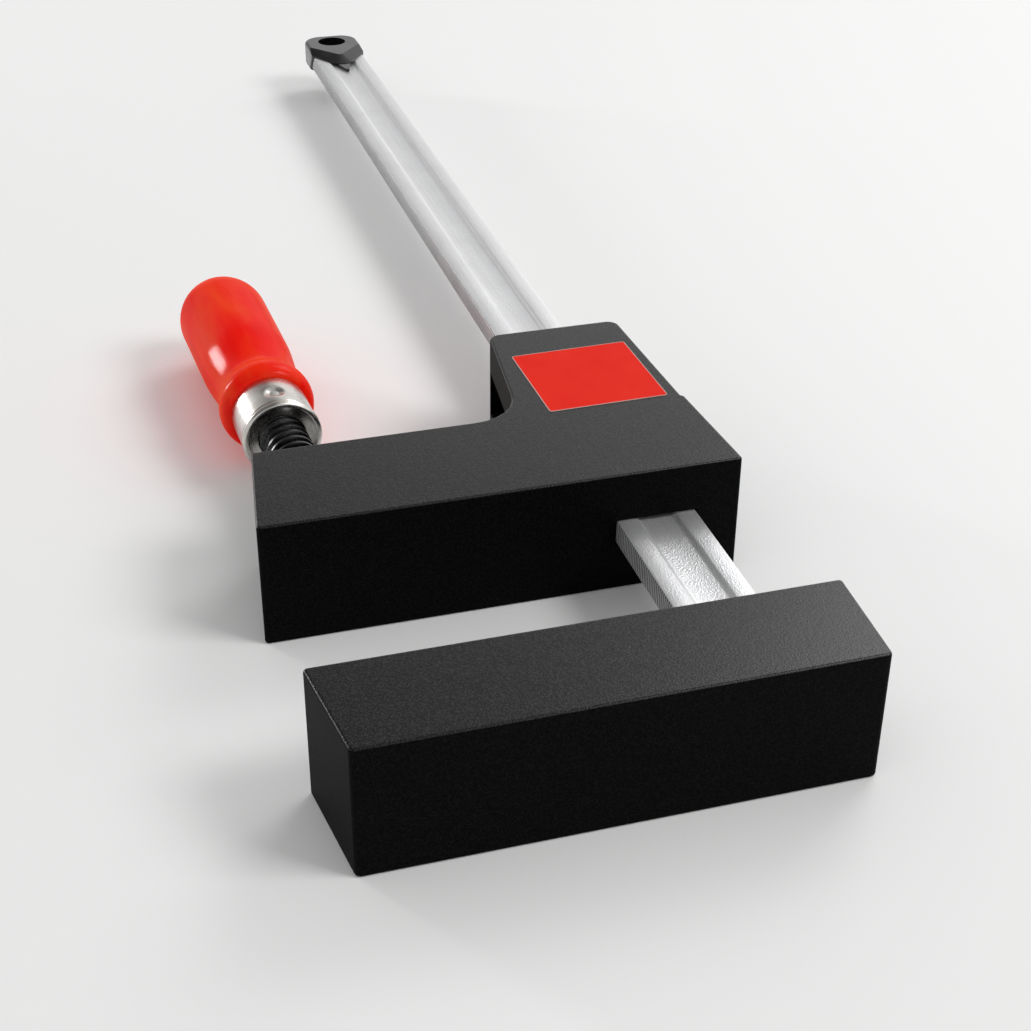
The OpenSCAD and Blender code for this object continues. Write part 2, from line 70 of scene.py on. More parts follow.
Pair = tuple[float, float]
Triple = tuple[float, float, float]
Colour = Triple
Piece = bpy.types.Object
Socket = bpy.types.NodeSocket


class Body(Enum):
    """The bodies that pieces ride on."""

    FRAME = "frame"
    MOVING_JAW = "moving_jaw"
    SCREW = "screw"


class Pick(Enum):
    """What an edit works on."""

    POINTS = "verts"
    EDGES = "edges"
    FACES = "faces"


@contextmanager
def editing(piece: Piece) -> Iterator[None]:
    """Opens a piece in edit mode with nothing selected, and closes it again.

    Args:
        piece: The piece to work on.
    """
    pick_up(piece)
    bpy.ops.object.mode_set(mode="EDIT")
    bpy.ops.mesh.select_mode(type="VERT")
    bpy.ops.mesh.select_all(action="DESELECT")
    yield
    bpy.ops.object.mode_set(mode="OBJECT")


def pick_up(piece: Piece) -> None:
    """Makes a piece the only selected one.

    Args:
        piece: The piece to select.
    """
    bpy.ops.object.select_all(action="DESELECT")
    piece.select_set(True)
    bpy.context.view_layer.objects.active = piece


def named(name: str) -> Piece:
    """Names the piece that was just added, and its mesh.

    Args:
        name: The new name.

    Returns:
        The piece.
    """
    piece = bpy.context.object
    piece.name = name
    piece.data.name = name
    return piece


def select(piece: Piece, pick: Pick, test: Callable[..., bool]) -> None:
    """Selects the points, edges or faces of an open piece that pass a test, and nothing else.

    Args:
        piece: The piece, open in edit mode.
        pick: What is tested.
        test: Says whether an element is wanted.
    """
    bpy.ops.mesh.select_all(action="DESELECT")
    bpy.ops.mesh.select_mode(type={"verts": "VERT", "edges": "EDGE", "faces": "FACE"}[pick.value])
    mesh = bmesh.from_edit_mesh(piece.data)
    for element in getattr(mesh, pick.value):
        if test(element):
            element.select_set(True)
    mesh.select_flush_mode()
    bmesh.update_edit_mesh(piece.data)


def middle(element: bmesh.types.BMEdge | bmesh.types.BMFace) -> Vector:
    """Centre of an edge or a face.

    Args:
        element: The edge or face.

    Returns:
        The mean of its points.
    """
    return sum((v.co for v in element.verts), Vector()) / len(element.verts)


def add_modifier(piece: Piece, kind: str, **settings: object) -> None:
    """Adds a modifier to a piece and applies it.

    Args:
        piece: The piece to change.
        kind: The modifier's type.
        settings: Values of the modifier.
    """
    pick_up(piece)
    modifier = piece.modifiers.new(kind.lower(), kind)
    for key, value in settings.items():
        setattr(modifier, key, value)
    bpy.ops.object.modifier_apply(modifier=modifier.name)


def settle(piece: Piece, place: Matrix) -> None:
    """Puts a piece in its place and leaves that place in its mesh.

    Args:
        piece: A piece modelled about the origin.
        place: Where it goes.
    """
    piece.matrix_world = place
    pick_up(piece)
    bpy.ops.object.transform_apply(location=True, rotation=True, scale=True)


def smooth(piece: Piece, degrees: float) -> None:
    """Shades a piece smooth, apart from edges sharper than an angle.

    Args:
        piece: The piece to shade.
        degrees: The angle.
    """
    pick_up(piece)
    bpy.ops.object.shade_smooth_by_angle(angle=math.radians(degrees))


def cut_with(piece: Piece, cutter: Piece, operation: str = "DIFFERENCE") -> None:
    """Cuts a piece with another, or joins them, and removes the other.

    Args:
        piece: The piece that stays.
        cutter: The piece that goes.
        operation: The boolean operation.
    """
    add_modifier(piece, "BOOLEAN", object=cutter, operation=operation, solver="EXACT")
    bpy.data.objects.remove(cutter)


def polyline(name: str, points: Sequence[Vector]) -> Piece:
    """Line of points, extruded one after the other.

    Args:
        name: The piece's name.
        points: The points in order.

    Returns:
        A piece with edges only.
    """
    bpy.ops.object.select_all(action="DESELECT")
    bpy.ops.mesh.primitive_plane_add(size=MM)
    piece = named(name)
    with editing(piece):
        bpy.ops.mesh.select_all(action="SELECT")
        bpy.ops.mesh.merge(type="CENTER")
        bpy.ops.transform.translate(value=points[0])
        for before, after in zip(points, points[1:]):
            bpy.ops.mesh.extrude_vertices_move(TRANSFORM_OT_translate={"value": after - before})
    return piece


def turned(name: str, profile: Sequence[Pair], steps: int) -> Piece:
    """Piece turned about the Z axis, as on a lathe.

    Args:
        name: The piece's name.
        profile: Radius and height of each point.
        steps: Flats round the piece.

    Returns:
        The closed piece.
    """
    piece = polyline(name, [Vector((radius, 0.0, height)) for radius, height in profile])
    with editing(piece):
        bpy.ops.mesh.select_all(action="SELECT")
        bpy.ops.mesh.spin(steps=steps, angle=math.tau, center=(0, 0, 0), axis=(0, 0, 1))
        bpy.ops.mesh.select_all(action="SELECT")
        bpy.ops.mesh.remove_doubles(threshold=WELD)
        bpy.ops.mesh.normals_make_consistent(inside=False)
    return piece


def arc(centre: Pair, radii: Pair, degrees: Pair,
        steps: int = 8) -> list[Pair]:
    """Points along part of an ellipse.

    Args:
        centre: Its centre.
        radii: Its half axes.
        degrees: Its first and last angle.
        steps: How many pieces it is made of.

    Returns:
        The points in order.
    """
    angles = [math.radians(degrees[0] + (degrees[1] - degrees[0]) * i / steps) for i in range(steps + 1)]
    return [(centre[0] + radii[0] * math.cos(a), centre[1] + radii[1] * math.sin(a)) for a in angles]


def eased(start: Pair, end: Pair, steps: int = 8) -> list[Pair]:
    """Points of a smooth run that leaves and arrives level, without its first point.

    Args:
        start: Radius and height where it leaves.
        end: Radius and height where it arrives.
        steps: How many pieces it is made of.

    Returns:
        The points in order.
    """
    shares = [i / steps for i in range(1, steps + 1)]
    return [(start[0] + (end[0] - start[0]) * (1 - math.cos(math.pi * s)) / 2,
             start[1] + (end[1] - start[1]) * s) for s in shares]


def moulded_copy(node: str, name: str, rim: float) -> Piece:
    """Copy of a node's solid with its points merged and its sharp edges broken.

    Args:
        node: The node's name.
        name: The copy's name.
        rim: Width of the bevel on the sharp edges.

    Returns:
        The copy, shaded smooth over its rims and flat on its faces.
    """
    piece = bpy.data.objects.new(name, frame["nodes"][node].data.copy())
    piece.data.name = name
    bpy.context.scene.collection.objects.link(piece)
    piece.data.materials.clear()
    with editing(piece):
        bpy.ops.mesh.select_all(action="SELECT")
        bpy.ops.mesh.remove_doubles(threshold=WELD)
        bpy.ops.mesh.dissolve_limited(angle_limit=FLAT_WITHIN)
    add_modifier(piece, "BEVEL", width=rim, segments=2, limit_method="ANGLE", angle_limit=BREAK_OVER)
    smooth(piece, degrees=40)
    add_modifier(piece, "WEIGHTED_NORMAL", weight=100, keep_sharp=True)
    return piece


class Recipe:
    """Node tree of one finish, round its principled shader."""

    def __init__(self, name: str, **values: float | Colour) -> None:
        """Starts the finish with the values that are the same all over.

        Args:
            name: The material's name.
            values: Values of the shader's sockets, with _ for a space.
        """
        self.material = bpy.data.materials.new(name)
        self.material.use_nodes = True
        self.tree = self.material.node_tree
        self.shader = self.tree.nodes["Principled BSDF"]
        for key, value in values.items():
            socket = self.shader.inputs[key.replace("_", " ")]
            socket.default_value = (*value, 1.0) if isinstance(value, tuple) else value

    def node(self, kind: str, vector: Socket | None = None, **values: float) -> bpy.types.Node:
        """Adds a node.

        Args:
            kind: The node's type.
            vector: What feeds its Vector socket.
            values: Values of its other sockets, with _ for a space.

        Returns:
            The node.
        """
        node = self.tree.nodes.new(kind)
        if vector is not None:
            self.tree.links.new(vector, node.inputs["Vector"])
        for key, value in values.items():
            node.inputs[key.replace("_", " ")].default_value = value
        return node

    def place(self, scale: Triple = (1, 1, 1), turn: Triple = (0, 0, 0)) -> Socket:
        """Object coordinates, stretched and turned.

        Args:
            scale: Stretch along each axis.
            turn: Turn about each axis in degrees.

        Returns:
            The socket that holds them.
        """
        mapping = self.node("ShaderNodeMapping", Scale=scale, Rotation=tuple(map(math.radians, turn)))
        self.tree.links.new(self.node("ShaderNodeTexCoord").outputs["Object"], mapping.inputs["Vector"])
        return mapping.outputs["Vector"]

    def noise(self, vector: Socket, **values: float) -> Socket:
        """Noise pattern on a vector.

        Args:
            vector: The socket that places the pattern.
            values: Values of the noise's sockets, with _ for a space.

        Returns:
            The pattern's socket.
        """
        return self.node("ShaderNodeTexNoise", vector, **values).outputs[0]

    def ramp(self, factor: Socket, *stops: tuple[float, Colour]) -> Socket:
        """Colours along a factor.

        Args:
            factor: The factor's socket.
            stops: Place and colour of each stop.

        Returns:
            The colour's socket.
        """
        node = self.node("ShaderNodeValToRGB")
        points = node.color_ramp.elements
        while len(points) < len(stops):
            points.new(0.5)
        for point, (position, colour) in zip(points, stops):
            point.position = position
            point.color = (*colour, 1.0)
        self.tree.links.new(factor, node.inputs[0])
        return node.outputs[0]

    def span(self, factor: Socket, low: float, high: float,
             source: Pair = (0.0, 1.0)) -> Socket:
        """A factor brought between two values.

        Args:
            factor: The factor's socket.
            low: Value at the source's start.
            high: Value at the source's end.
            source: The part of the factor that is used.

        Returns:
            The new value's socket.
        """
        node = self.node("ShaderNodeMapRange", From_Min=source[0], From_Max=source[1],
                         To_Min=low, To_Max=high)
        self.tree.links.new(factor, node.inputs["Value"])
        return node.outputs[0]

    def mix(self, factor: Socket, a: Socket,
            b: Socket) -> Socket:
        """Mixes two colours.

        Args:
            factor: Share of the second.
            a: The first colour's socket.
            b: The second colour's socket.

        Returns:
            The mixed colour's socket.
        """
        node = self.tree.nodes.new("ShaderNodeMix")
        node.data_type = "RGBA"
        self.tree.links.new(factor, node.inputs["Factor"])
        self.tree.links.new(a, node.inputs[MIX_FIRST])
        self.tree.links.new(b, node.inputs[MIX_SECOND])
        return node.outputs[MIX_RESULT]

    def feed(self, socket: str, source: Socket) -> None:
        """Links a source to one of the shader's sockets.

        Args:
            socket: The shader's socket.
            source: What feeds it.
        """
        self.tree.links.new(source, self.shader.inputs[socket])

    def emboss(self, height: Socket, depth: float, strength: float = 1.0) -> None:
        """Raises the surface by a height.

        Args:
            height: The height's socket, from 0 to 1.
            depth: The rise at a height of 1.
            strength: Share of the rise that shows.
        """
        bump = self.node("ShaderNodeBump", Strength=strength, Distance=depth)
        self.tree.links.new(height, bump.inputs["Height"])
        previous = self.shader.inputs["Normal"].links
        if previous:
            self.tree.links.new(previous[0].from_socket, bump.inputs["Normal"])
        self.tree.links.new(bump.outputs["Normal"], self.shader.inputs["Normal"])


@dataclass(frozen=True)
class MouldedPlastic:
    """Black fibre-filled moulding with a fine spark-eroded grain."""

    name: str
    sheen: float
    roughness: Pair
    pale: Colour
    dark: Colour = (0.0010, 0.0015, 0.0010)
    grain: float = 0.38 * MM
    depth: float = 0.045 * MM

    def material(self) -> bpy.types.Material:
        """Makes the finish.

        Returns:
            The material.
        """
        recipe = Recipe(self.name, Specular_IOR_Level=self.sheen)
        grain = recipe.noise(recipe.place(), Scale=1 / self.grain, Detail=2.0, Roughness=0.6)
        recipe.feed("Base Color", recipe.ramp(grain, (0.46, self.dark), (0.64, self.pale)))
        recipe.feed("Roughness", recipe.span(grain, *self.roughness, (0.3, 0.7)))
        recipe.emboss(grain, self.depth)
        return recipe.material


@dataclass(frozen=True)
class ZincPlate:
    """Zinc on a drawn bar, with fine spangle and faint lines along it."""

    name: str
    dull: Colour
    bright: Colour
    roughness: Pair
    spangle: float = 0.4 * MM
    facet: float = 0.08 * MM

    def material(self) -> bpy.types.Material:
        """Makes the finish.

        Returns:
            The material.
        """
        recipe = Recipe(self.name, Metallic=0.65)
        cells = recipe.node("ShaderNodeTexVoronoi", recipe.place(), Scale=1 / self.spangle)
        drawn = recipe.noise(recipe.place(scale=(1.0, 0.015, 1.0)), Scale=1600.0, Detail=3.0)
        cloud = recipe.noise(recipe.place(), Scale=90.0, Detail=4.0)
        recipe.feed("Base Color", recipe.mix(recipe.span(cells.outputs["Color"], 0.0, 0.7),
                                             recipe.ramp(drawn, (0.3, self.dull), (0.65, self.bright)),
                                             recipe.ramp(cloud, (0.3, self.dull), (0.6, self.bright))))
        recipe.feed("Roughness", recipe.span(cells.outputs["Color"], *self.roughness))
        recipe.emboss(cells.outputs["Distance"], self.facet)
        recipe.emboss(drawn, 0.003 * MM, 0.4)
        return recipe.material


@dataclass(frozen=True)
class Steel:
    """Plain worked steel of one tint, with fine grinding marks."""

    name: str
    dull: Colour
    bright: Colour
    roughness: Pair = (0.3, 0.5)
    marks: Triple = (1.0, 0.05, 1.0)

    def material(self) -> bpy.types.Material:
        """Makes the finish.

        Returns:
            The material.
        """
        recipe = Recipe(self.name, Metallic=1.0)
        marks = recipe.noise(recipe.place(scale=self.marks), Scale=2200.0, Detail=3.0)
        cloud = recipe.noise(recipe.place(), Scale=120.0, Detail=3.0)
        recipe.feed("Base Color", recipe.ramp(marks, (0.3, self.dull), (0.7, self.bright)))
        recipe.feed("Roughness", recipe.span(cloud, *self.roughness, (0.3, 0.7)))
        recipe.emboss(marks, 0.008 * MM, 0.6)
        return recipe.material


@dataclass(frozen=True)
class CastCoat:
    """Dark coat over a casting, with its rough skin."""

    name: str = "cast_arm"
    dark: Colour = (0.05, 0.05, 0.052)
    pale: Colour = (0.11, 0.11, 0.115)

    def material(self) -> bpy.types.Material:
        """Makes the finish.

        Returns:
            The material.
        """
        recipe = Recipe(self.name, Metallic=0.6)
        skin = recipe.noise(recipe.place(), Scale=900.0, Detail=5.0)
        recipe.feed("Base Color", recipe.ramp(skin, (0.35, self.dark), (0.7, self.pale)))
        recipe.feed("Roughness", recipe.span(skin, 0.45, 0.65))
        recipe.emboss(skin, 0.08 * MM)
        return recipe.material


@dataclass(frozen=True)
class GlossPlastic:
    """Smooth black plastic of the end cap, with faint flow marks."""

    name: str = "cap_plastic"
    dark: Colour = (0.002, 0.002, 0.0022)
    pale: Colour = (0.008, 0.008, 0.0084)

    def material(self) -> bpy.types.Material:
        """Makes the finish.

        Returns:
            The material.
        """
        recipe = Recipe(self.name, Specular_IOR_Level=0.35)
        flow = recipe.noise(recipe.place(), Scale=140.0, Detail=3.0, Distortion=0.6)
        recipe.feed("Base Color", recipe.ramp(flow, (0.3, self.dark), (0.75, self.pale)))
        recipe.feed("Roughness", recipe.span(flow, 0.12, 0.24, (0.3, 0.7)))
        recipe.emboss(flow, 0.05 * MM, 0.4)
        return recipe.material


@dataclass(frozen=True)
class LabelFilm:
    """Printed film of the label, in one tint."""

    name: str
    tint: Colour
    faded: Colour

    def material(self) -> bpy.types.Material:
        """Makes the finish.

        Returns:
            The material.
        """
        recipe = Recipe(self.name, Specular_IOR_Level=0.03)
        ink = recipe.noise(recipe.place(), Scale=160.0, Detail=4.0)
        recipe.feed("Base Color", recipe.ramp(ink, (0.3, self.tint), (0.75, self.faded)))
        recipe.feed("Roughness", recipe.span(ink, 0.34, 0.46))
        recipe.emboss(ink, 0.02 * MM, 0.5)
        return recipe.material


@dataclass(frozen=True)
class RedLacquer:
    """Clear red lacquer over turned beech, whose grain shows through along the handle."""

    lean: float
    name: str = "handle_lacquer"
    deep: Colour = (0.82, 0.002, 0.002)
    red: Colour = (0.92, 0.008, 0.004)
    orange: Colour = (0.95, 0.055, 0.009)
    rim: Colour = (1.0, 0.3, 0.08)

    def material(self) -> bpy.types.Material:
        """Makes the finish.

        Returns:
            The material.
        """
        recipe = Recipe(self.name, Roughness=0.4, Specular_IOR_Level=0.0, Coat_Weight=0.2,
                        Coat_Roughness=0.12, Sheen_Weight=0.4, Sheen_Roughness=0.3, Sheen_Tint=self.rim)
        along = recipe.place(scale=(1.0, 0.06, 1.0), turn=(0.0, 0.0, -self.lean))
        fibres = recipe.noise(along, Scale=1500.0, Detail=4.0)
        rays = recipe.noise(recipe.place(scale=(1.0, 0.25, 1.0)), Scale=90.0, Detail=3.0, Distortion=0.5)
        body = recipe.ramp(rays, (0.3, self.deep), (0.45, self.red), (0.65, self.orange))
        recipe.feed("Base Color", recipe.mix(recipe.span(fibres, 0.0, 0.5),
                                             body, recipe.ramp(fibres, (0.35, self.deep), (0.7, self.red))))
        recipe.emboss(fibres, 0.06 * MM)
        recipe.feed("Coat Normal", recipe.shader.inputs["Normal"].links[0].from_socket)
        return recipe.material


@dataclass(frozen=True)
class Nickel:
    """Bright nickel plate, a little clouded and scuffed round the ferrule."""

    name: str = "ferrule_nickel"
    dull: Colour = (0.52, 0.49, 0.45)
    bright: Colour = (0.72, 0.70, 0.67)

    def material(self) -> bpy.types.Material:
        """Makes the finish.

        Returns:
            The material.
        """
        recipe = Recipe(self.name, Metallic=1.0)
        cloud = recipe.noise(recipe.place(), Scale=150.0, Detail=4.0)
        scuffs = recipe.noise(recipe.place(scale=(1.0, 8.0, 1.0)), Scale=500.0, Detail=4.0)
        recipe.feed("Base Color", recipe.ramp(cloud, (0.3, self.dull), (0.6, self.bright)))
        recipe.feed("Roughness", recipe.span(scuffs, 0.2, 0.32, (0.35, 0.75)))
        recipe.emboss(scuffs, 0.006 * MM, 0.5)
        return recipe.material


def dress(node: str, finish: bpy.types.Material) -> None:
    """Gives a node's own solid a finish.

    Args:
        node: The node's name.
        finish: The material.
    """
    slots = frame["nodes"][node].data.materials
    slots.clear()
    slots.append(finish)
    log.info("%s: solid with finish %s", node, finish.name)


def deliver(piece: Piece, node: str, body: Body, slot: str, *finishes: bpy.types.Material) -> None:
    """Puts a finished piece in the place of a node.

    Args:
        piece: The piece.
        node: The node that it stands for.
        body: The body that it rides on.
        slot: The record's material slot. It is not used.
        finishes: The piece's materials.
    """
    for finish in finishes:
        piece.data.materials.append(finish)
    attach(piece, body.value)
    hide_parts(node)
    log.info("%s: %d faces in place of %s", piece.name, len(piece.data.polygons), node)


@dataclass
class Rail:
    """Grooved bar with serrated edges, and the cap on its end."""

    bevel: float = 0.7 * MM
    groove: float = 10.2 * MM
    groove_depth: float = 0.9 * MM
    groove_slope: float = 1.6 * MM
    groove_steps: int = 5
    tooth: float = 1.05 * MM
    tooth_depth: float = 0.4 * MM
    crest: float = 0.36
    nib_hole: float = 4.2 * MM
    nib_from_end: float = 5.5 * MM
    drill: float = 20.0 * MM
    drill_steps: int = 32
    cap_rim: float = 0.3 * MM
    # Faces that lean past these limits across and along the bar are the teeth's flanks, which get the
    # painted shade.
    flank_across: float = 0.5
    flank_along: float = 0.2

    def build(self) -> None:
        """Makes and dresses the rail and its cap."""
        zinc = ZincPlate("zinc_rail", (0.68, 0.682, 0.692), (0.77, 0.772, 0.78), (0.3, 0.42)).material()
        # The teeth's flanks get a dark zinc as painted shade in the valleys of the serrations, while the
        # crests keep the pale zinc.
        dark = ZincPlate("zinc_teeth", (0.14, 0.14, 0.145), (0.26, 0.26, 0.265), (0.42, 0.55)).material()
        bar = self.bar()
        for face in bar.data.polygons:
            flank = abs(face.normal.x) > self.flank_across and abs(face.normal.y) > self.flank_along
            face.material_index = 1 if flank else 0
        deliver(bar, "rail", Body.FRAME, "zinc_rail", zinc, dark)
        cap = moulded_copy("rail_end_cap", "end_cap", self.cap_rim)
        deliver(cap, "rail_end_cap", Body.FRAME, "cap_plastic", GlossPlastic().material())

    def bar(self) -> Piece:
        """Models one tooth's length of the bar, repeats it and bores it.

        Returns:
            The bar in its place.
        """
        low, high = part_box("rail")
        size = high - low
        count = round(size.y / self.tooth)
        step = size.y / count
        bpy.ops.object.select_all(action="DESELECT")
        bpy.ops.mesh.primitive_cube_add(size=1.0)
        bar = named("serrated_rail")
        settle(bar, Matrix.Diagonal((size.x, step, size.z, 1.0)))
        with editing(bar):
            self.shape_section(bar, size)
            self.cut_tooth(bar, size, step)
        add_modifier(bar, "ARRAY", count=count, use_relative_offset=False, use_constant_offset=True,
                     constant_offset_displace=(0.0, step, 0.0), use_merge_vertices=True,
                     merge_threshold=WELD)
        settle(bar, Matrix.Translation((0.0, low.y + step / 2, 0.0)))
        with editing(bar):
            for end in (low.y, high.y):
                select(bar, Pick.EDGES, lambda e: e.is_boundary and abs(middle(e).y - end) < WELD)
                bpy.ops.mesh.edge_face_add()
            bpy.ops.mesh.select_all(action="SELECT")
            bpy.ops.mesh.normals_make_consistent(inside=False)
        self.bore(bar, high)
        smooth(bar, degrees=30)
        return bar

    def shape_section(self, bar: Piece, size: Vector) -> None:
        """Bevels the long edges and sinks the grooves.

        Args:
            bar: One tooth's length of the bar, open in edit mode.
            size: The whole bar's size.
        """
        edge = size.x / 2
        face = size.z / 2
        select(bar, Pick.EDGES, lambda e: abs(middle(e).x) > edge - WELD and abs(middle(e).z) > face - WELD
               and abs(middle(e).y) < WELD)
        bpy.ops.mesh.bevel(offset=self.bevel, segments=2, affect="EDGES")
        mouth = self.groove / 2
        floor = mouth - self.groove_slope
        steps = [i / self.groove_steps for i in range(self.groove_steps + 1)]
        for x in (side * (mouth + (floor - mouth) * step) for step in steps for side in (-1, 1)):
            bpy.ops.mesh.select_all(action="SELECT")
            bpy.ops.mesh.bisect(plane_co=(x, 0, 0), plane_no=(1, 0, 0))
        sunk = [self.groove_depth * (1 - math.cos(math.pi * step)) / 2 for step in steps]
        for step, before, after in zip(steps[1:], sunk, sunk[1:]):
            reach = mouth + (floor - mouth) * step + WELD
            level = face - before - WELD
            for side in (-1, 1):
                select(bar, Pick.POINTS, lambda v: abs(v.co.x) < reach and side * v.co.z > level)
                bpy.ops.transform.translate(value=(0, 0, side * (before - after)))

    def cut_tooth(self, bar: Piece, size: Vector, step: float) -> None:
        """Opens the ends and draws the middle of each narrow edge in, between flat crests.

        Args:
            bar: One tooth's length of the bar, open in edit mode.
            size: The whole bar's size.
            step: That length.
        """
        select(bar, Pick.FACES, lambda f: abs(middle(f).y) > step / 2 - WELD)
        bpy.ops.mesh.delete(type="FACE")
        reach = step * (1 - self.crest) / 2
        for y in (-reach, 0, reach):
            bpy.ops.mesh.select_all(action="SELECT")
            bpy.ops.mesh.bisect(plane_co=(0, y, 0), plane_no=(0, 1, 0))
        for side in (-1, 1):
            select(bar, Pick.POINTS, lambda v: abs(v.co.y) < WELD and side * v.co.x > size.x / 2 - WELD)
            bpy.ops.transform.translate(value=(-side * self.tooth_depth, 0, 0))

    def bore(self, bar: Piece, high: Vector) -> None:
        """Drills the holes for the rivets and for the cap's nibs.

        Args:
            bar: The bar in its place.
            high: Its highest corner.
        """
        first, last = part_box("fixed_arm_rivets")
        rivet = last.y - first.y
        rivet_y = (first.y + last.y) / 2
        holes = [(first.x + rivet / 2, rivet_y, rivet), (last.x - rivet / 2, rivet_y, rivet),
                 (0.0, high.y - self.nib_from_end, self.nib_hole)]
        for x, y, width in holes:
            bpy.ops.object.select_all(action="DESELECT")
            bpy.ops.mesh.primitive_cylinder_add(vertices=self.drill_steps, radius=width / 2,
                                                depth=self.drill, location=(x, y, 0))
            cut_with(bar, bpy.context.object)


@dataclass
class Jaws:
    """Both moulded jaws, what is inside them and the label."""

    rim: float = 0.25 * MM
    # Faces whose normal leans up or down past this limit take the paler, glossier copy of the moulding. The
    # rest take the darker copy.
    broad: float = 0.45
    slot_back: float = 114.9 * MM
    slot_half: float = 6.5 * MM
    slot_side: float = -18.5 * MM
    slot_more: float = 8.8 * MM
    neck_taper: float = 0.117
    label_width: float = 29.7 * MM
    label_length: float = 30.2 * MM
    label_turn: float = 1.1
    label_corner: float = 0.7 * MM
    keyline: float = 0.18 * MM
    upward: float = 0.9

    def build(self) -> None:
        """Makes and dresses the jaws' pieces."""
        # One moulding in two copies. The broad faces get a paler grain and more gloss as painted light. The
        # sides get a darker grain and little gloss as painted shade.
        broad = MouldedPlastic("black_moulding", 0.3, (0.2, 0.32), (0.018, 0.0185, 0.018)).material()
        narrow = MouldedPlastic("black_moulding_side", 0.03, (0.48, 0.6), (0.006, 0.0068, 0.006)).material()
        steel = Steel("steel_core", (0.30, 0.30, 0.31), (0.45, 0.45, 0.46)).material()
        hard = Steel("hard_steel", (0.42, 0.42, 0.43), (0.58, 0.58, 0.60), (0.2, 0.35)).material()
        for node, name, body in (("fixed_jaw_shell", "fixed_jaw", Body.FRAME),
                                 ("heel_plug", "fixed_jaw_plug", Body.FRAME),
                                 ("jaw_shell", "moving_jaw", Body.MOVING_JAW)):
            shell = moulded_copy(node, name, self.rim)
            if node == "jaw_shell":
                self.lengthen_slot(shell)
            # Broad faces take the painted-light copy, and the others take the painted-shade copy.
            for face in shell.data.polygons:
                face.material_index = 0 if abs(face.normal.z) > self.broad else 1
            deliver(shell, node, body, "black_moulding", broad, narrow)
        for node in ("fixed_arm", "fixed_arm_rivets"):
            dress(node, steel)
        for node in ("thrust_disc", "retaining_ring", "brake_spring", "tip_collar"):
            dress(node, hard)
        dress("sliding_arm", CastCoat().material())
        red = LabelFilm("label_film", (0.80, 0.018, 0.009), (0.84, 0.028, 0.013)).material()
        pale = LabelFilm("label_edge", (0.55, 0.40, 0.37), (0.64, 0.50, 0.46)).material()
        deliver(self.label(), "jaw_label", Body.MOVING_JAW, "label_film", red, pale)

    def lengthen_slot(self, shell: Piece) -> None:
        """Draws the back wall of the arm's slot further back, along the neck's tapering side.

        Args:
            shell: The moving jaw's moulding.
        """
        with editing(shell):
            select(shell, Pick.POINTS, lambda v: abs(v.co.y - self.slot_back) < self.rim
                   and abs(v.co.z) < self.slot_half)
            bpy.ops.transform.translate(value=(0, self.slot_more, 0))
            select(shell, Pick.POINTS, lambda v: abs(v.co.y - self.slot_back - self.slot_more) < self.rim
                   and abs(v.co.z) < self.slot_half and v.co.x < self.slot_side)
            bpy.ops.transform.translate(value=(self.slot_more * self.neck_taper, 0, 0))

    def label(self) -> Piece:
        """Models the label with rounded corners and a pale keyline.

        Returns:
            The label in its place.
        """
        low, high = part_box("jaw_label")
        bpy.ops.object.select_all(action="DESELECT")
        bpy.ops.mesh.primitive_plane_add(size=1.0)
        label = named("neck_label")
        settle(label, Matrix.Diagonal((self.label_width, self.label_length, 1.0, 1.0)))
        with editing(label):
            bpy.ops.mesh.select_all(action="SELECT")
            bpy.ops.mesh.bevel(offset=self.label_corner, segments=5, affect="VERTICES")
            bpy.ops.mesh.select_all(action="SELECT")
            bpy.ops.mesh.extrude_region_move(TRANSFORM_OT_translate={"value": (0, 0, high.z - low.z)})
            bpy.ops.mesh.select_all(action="SELECT")
            bpy.ops.mesh.normals_make_consistent(inside=False)
            select(label, Pick.FACES, lambda f: f.normal.z > self.upward)
            bpy.ops.mesh.inset(thickness=self.keyline)
        for face in label.data.polygons:
            inner = face.normal.z > self.upward and face.center.xy.length < self.label_width / 4
            face.material_index = 0 if inner else 1
        settle(label, Matrix.Translation(((low.x + high.x) / 2, (low.y + high.y) / 2, low.z))
               @ Matrix.Rotation(math.radians(self.label_turn), 4, "Z"))
        return label


